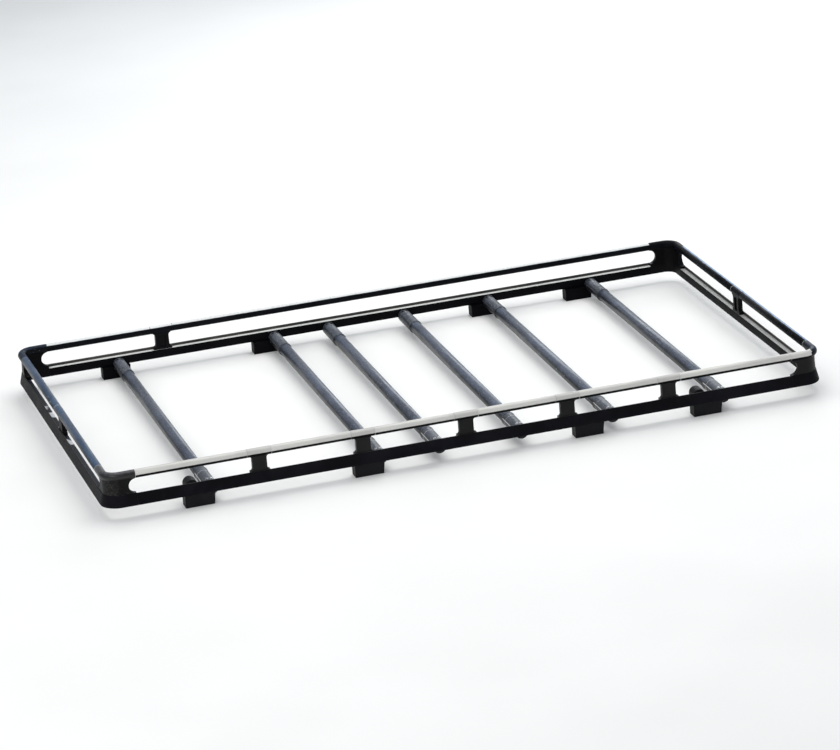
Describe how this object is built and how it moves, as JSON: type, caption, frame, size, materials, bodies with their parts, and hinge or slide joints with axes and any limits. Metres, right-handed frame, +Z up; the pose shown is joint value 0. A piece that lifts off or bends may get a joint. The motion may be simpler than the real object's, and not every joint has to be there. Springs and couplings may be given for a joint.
{
  "type": "roof cargo basket",
  "caption": "Low rectangular roof tray: round top rail on posts and cast corners, flared lower rail, round crossbars and block feet.",
  "frame": {"origin": "middle of the footprint, at the underside of the feet", "axes": "+X along the length, towards the right as the picture shows it; +Y across, away from the viewer; +Z up"},
  "size_m": [2.2, 1.25, 0.142],
  "materials": {
    "light_tube": "satin",
    "dark_tube": "gloss black",
    "casting": "satin black",
    "rail": "satin black",
    "bar": "satin black",
    "socket": "satin black",
    "foot": "matt black"
  },
  "bodies": {
    "root": {"corner_near_left": "casting", "corner_near_right": "casting", "corner_far_right": "casting", "corner_far_left": "casting", "lower_rail_near": "rail", "lower_rail_far": "rail", "lower_rail_left": "rail", "lower_rail_right": "rail", "post_near_1": "casting", "post_near_2": "casting", "post_near_3": "casting", "post_near_4": "casting", "post_near_5": "casting", "top_tube_near_1": "light_tube", "top_tube_near_2": "light_tube", "top_tube_near_3": "light_tube", "top_tube_near_4": "light_tube", "top_tube_near_5": "light_tube", "top_tube_near_6": "light_tube", "post_far_1": "casting", "top_tube_far_1": "dark_tube", "top_tube_far_2": "dark_tube", "post_left_1": "casting", "top_tube_left_1": "dark_tube", "top_tube_left_2": "dark_tube", "post_right_1": "casting", "top_tube_right_1": "dark_tube", "top_tube_right_2": "dark_tube", "crossbar_1": "bar", "bar_socket_near_1": "socket", "bar_socket_far_1": "socket", "crossbar_2": "bar", "bar_socket_near_2": "socket", "bar_socket_far_2": "socket", "crossbar_3": "bar", "bar_socket_near_3": "socket", "bar_socket_far_3": "socket", "crossbar_4": "bar", "bar_socket_near_4": "socket", "bar_socket_far_4": "socket", "crossbar_5": "bar", "bar_socket_near_5": "socket", "bar_socket_far_5": "socket", "crossbar_6": "bar", "bar_socket_near_6": "socket", "bar_socket_far_6": "socket", "foot_near_1": "foot", "foot_near_2": "foot", "foot_near_5": "foot", "foot_near_6": "foot", "foot_far_1": "foot", "foot_far_2": "foot", "foot_far_5": "foot", "foot_far_6": "foot"}
  },
  "joints": []
}
